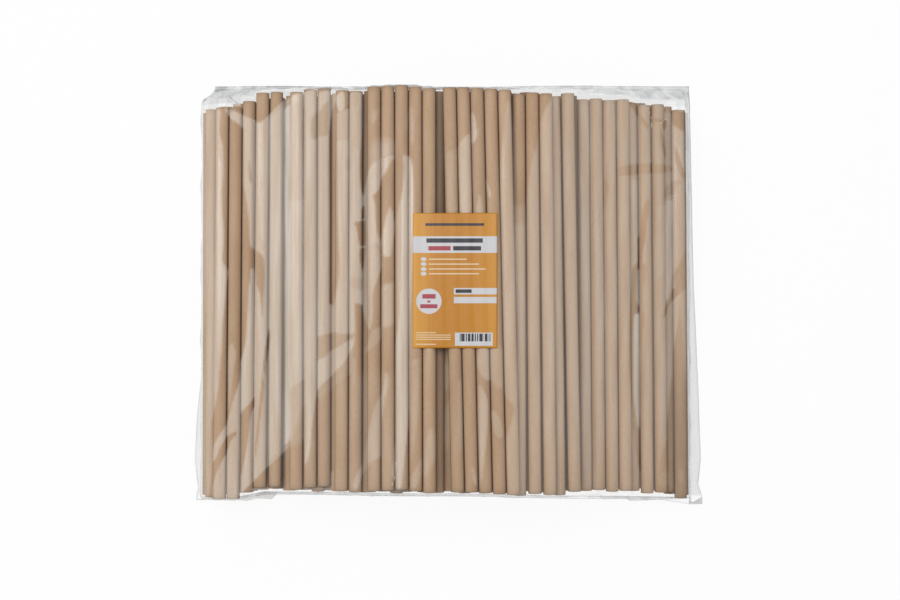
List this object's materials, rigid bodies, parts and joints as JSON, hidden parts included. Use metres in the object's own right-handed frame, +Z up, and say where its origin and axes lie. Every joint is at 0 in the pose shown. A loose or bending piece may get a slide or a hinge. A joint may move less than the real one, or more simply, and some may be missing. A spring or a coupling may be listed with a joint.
{
  "type": "pack of paper drinking straws",
  "caption": "Sealed clear film pack of plain kraft paper drinking straws, lying flat with a printed paper label on top.",
  "frame": {"origin": "on the floor under the middle of the pack's outline", "axes": "+X across the straws, to the right in the picture; +Y along the straws, to the top of the picture; +Z up, through the label"},
  "size_m": [0.3218, 0.2648, 0.0704],
  "materials": {
    "film": "clear glossy packing film",
    "label": "orange printed paper label, satin",
    "kraft_paper": "uncoated brown kraft paper, wound in a spiral"
  },
  "bodies": {
    "root": {"bag": "film", "label": "label", "straw_01": "kraft_paper", "straw_02": "kraft_paper", "straw_03": "kraft_paper", "straw_04": "kraft_paper", "straw_05": "kraft_paper", "straw_06": "kraft_paper", "straw_07": "kraft_paper", "straw_08": "kraft_paper", "straw_09": "kraft_paper", "straw_10": "kraft_paper", "straw_11": "kraft_paper", "straw_12": "kraft_paper", "straw_13": "kraft_paper", "straw_14": "kraft_paper", "straw_15": "kraft_paper", "straw_16": "kraft_paper", "straw_17": "kraft_paper", "straw_18": "kraft_paper", "straw_19": "kraft_paper", "straw_20": "kraft_paper", "straw_21": "kraft_paper", "straw_22": "kraft_paper", "straw_23": "kraft_paper", "straw_24": "kraft_paper", "straw_25": "kraft_paper", "straw_26": "kraft_paper", "straw_27": "kraft_paper", "straw_28": "kraft_paper", "straw_29": "kraft_paper", "straw_30": "kraft_paper", "straw_31": "kraft_paper", "straw_32": "kraft_paper", "straw_33": "kraft_paper", "straw_34": "kraft_paper", "straw_35": "kraft_paper", "course_1": "kraft_paper", "course_2": "kraft_paper", "course_3": "kraft_paper", "course_4": "kraft_paper", "course_5": "kraft_paper", "course_6": "kraft_paper", "course_7": "kraft_paper", "course_8": "kraft_paper"}
  },
  "joints": []
}
